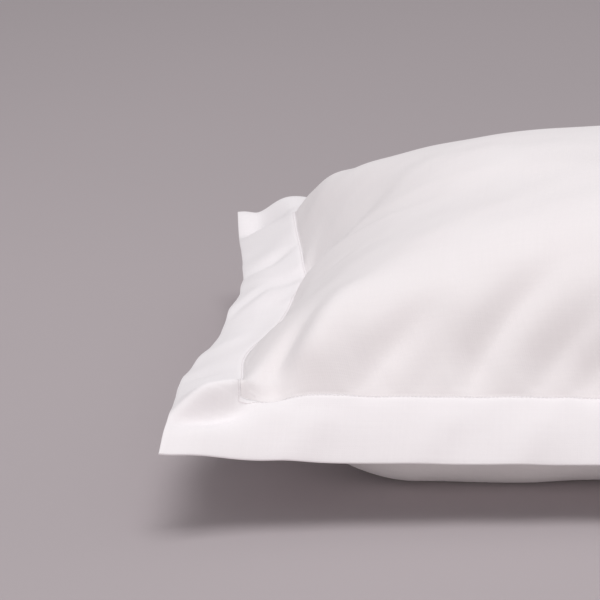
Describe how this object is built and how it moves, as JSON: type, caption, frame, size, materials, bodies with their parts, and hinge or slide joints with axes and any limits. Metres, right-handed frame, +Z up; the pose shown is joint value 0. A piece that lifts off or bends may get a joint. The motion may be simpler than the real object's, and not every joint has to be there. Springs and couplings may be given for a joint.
{
  "type": "flanged pillowcase",
  "caption": "Plump white cotton pillowcase lying on its back: a filled, crowned pocket inside a wide flat flange that droops all round it.",
  "frame": {"origin": "on the ground, under the middle of the case", "axes": "+X along the case's length, +Y along its depth towards the back, +Z up out of the crowned top"},
  "size_m": [0.8002, 0.5496, 0.1995],
  "materials": {
    "white_cotton": "matt plain weave",
    "white_cotton_double": "matt plain weave, double"
  },
  "bodies": {
    "root": {"filled_pocket": "white_cotton", "flange": "white_cotton_double"}
  },
  "joints": []
}
